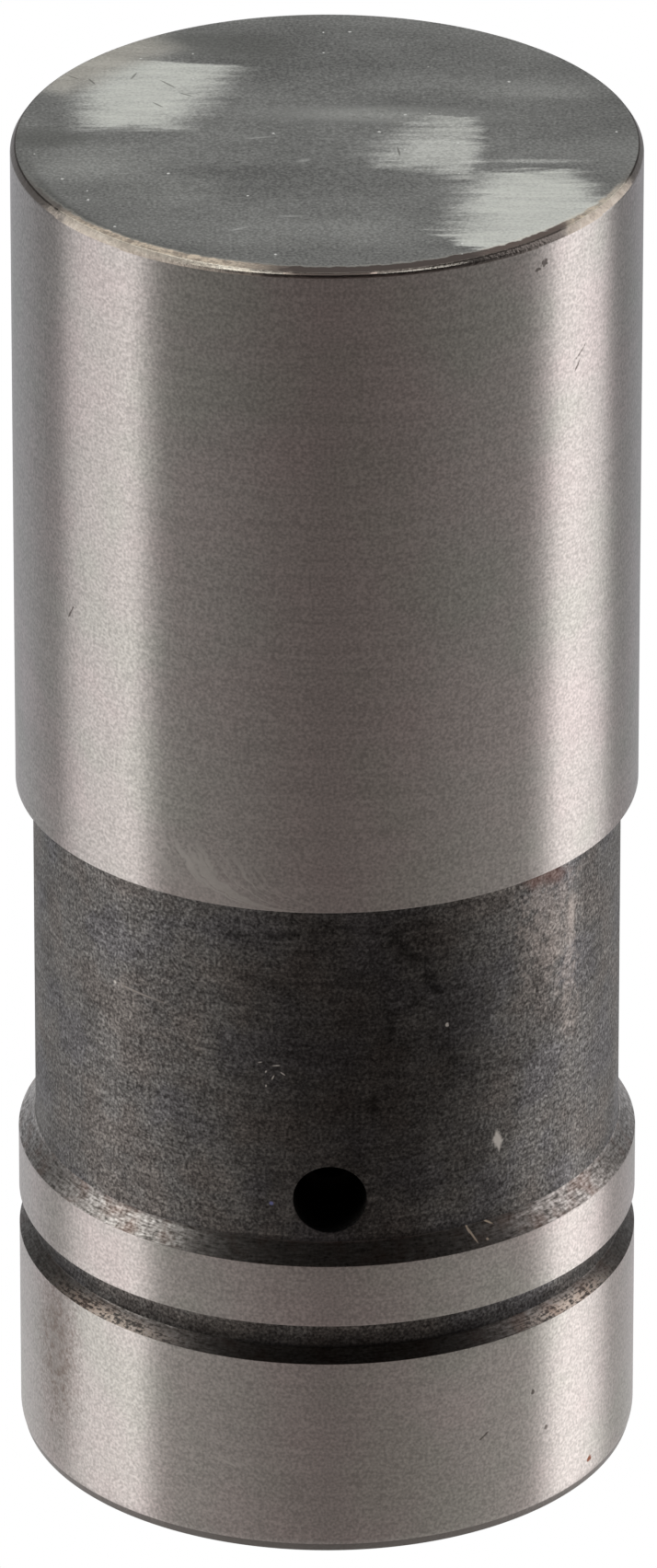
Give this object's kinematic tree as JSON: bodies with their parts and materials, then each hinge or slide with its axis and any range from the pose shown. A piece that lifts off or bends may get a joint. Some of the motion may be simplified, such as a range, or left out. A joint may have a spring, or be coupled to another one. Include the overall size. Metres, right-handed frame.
{
  "type": "valve lifter",
  "caption": "Hydraulic flat-foot valve lifter: ground body with oil groove and oil hole, spring-loaded hollow plunger, pushrod socket and ball check valve.",
  "frame": {"origin": "middle of the open end's plane, on the lifter's axis", "axes": "+Z along the axis, from the open end to the cam foot; the oil hole faces -Y"},
  "size_m": [0.024, 0.024, 0.0544],
  "materials": {
    "ground_steel": "ground bands and foot, dark unground waist",
    "spring_wire": "drawn wire, lightly oiled",
    "oiled_spring_steel": "drawn wire, dark and oiled",
    "hardened_seat_steel": "turned and polished in the socket",
    "stamped_strip": "rolled strip",
    "lapped_steel": "ground and lapped",
    "stamped_sheet": "deep-drawn sheet",
    "bearing_steel": "polished",
    "fine_spring_wire": "bright drawn wire"
  },
  "bodies": {
    "body": {"lifter_body": "ground_steel", "retaining_ring": "spring_wire", "plunger_spring": "oiled_spring_steel"},
    "plunger_assembly": {"plunger": "lapped_steel", "pushrod_seat": "hardened_seat_steel", "metering_disc": "stamped_strip", "check_ball_cage": "stamped_sheet", "check_ball_spring": "fine_spring_wire"},
    "ball": {"check_ball": "bearing_steel"}
  },
  "joints": [
    {"name": "plunger_slide", "type": "slide", "parent": "body", "child": "plunger_assembly", "axis": [0, 0, 1], "range_m": [0, 0.004], "stiffness_N_per_m": 3000, "springref_m": -0.006, "deforming": ["plunger_spring"]},
    {"name": "check_ball_lift", "type": "slide", "parent": "plunger_assembly", "child": "ball", "axis": [0, 0, 1], "range_m": [0, 0.0005], "stiffness_N_per_m": 100, "springref_m": -0.001, "deforming": ["check_ball_spring"]}
  ]
}
